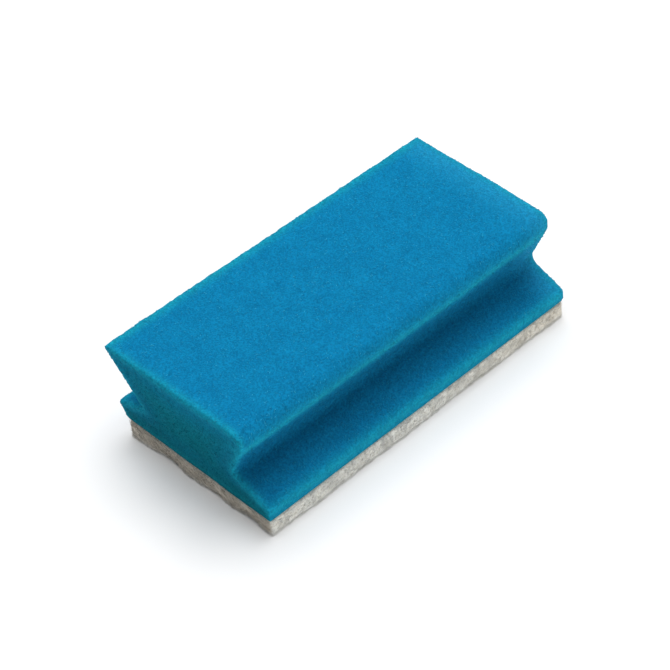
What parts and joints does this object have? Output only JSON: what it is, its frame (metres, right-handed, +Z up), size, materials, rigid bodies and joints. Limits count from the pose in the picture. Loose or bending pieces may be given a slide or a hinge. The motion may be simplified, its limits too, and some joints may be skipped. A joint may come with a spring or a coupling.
{
  "type": "grip scouring sponge",
  "caption": "Oblong hand scouring sponge: a foam block with a finger groove along each long side, bonded to a thin flat fibre scouring pad.",
  "frame": {"origin": "middle of the scouring face, which lies on the ground plane", "axes": "+X along the length, +Y across the width, +Z up out of the foam's wiping face"},
  "size_m": [0.15, 0.0752, 0.044],
  "materials": {
    "foam": "matte open-cell polyurethane foam with fine cut pores",
    "adhesive": "thin clear amber hot-melt film",
    "scouring_fibre": "matte curled non-woven fibre, pale grey with darker specks"
  },
  "bodies": {
    "root": {"foam_grip_block": "foam", "adhesive_film": "adhesive", "scouring_pad": "scouring_fibre"}
  },
  "joints": []
}
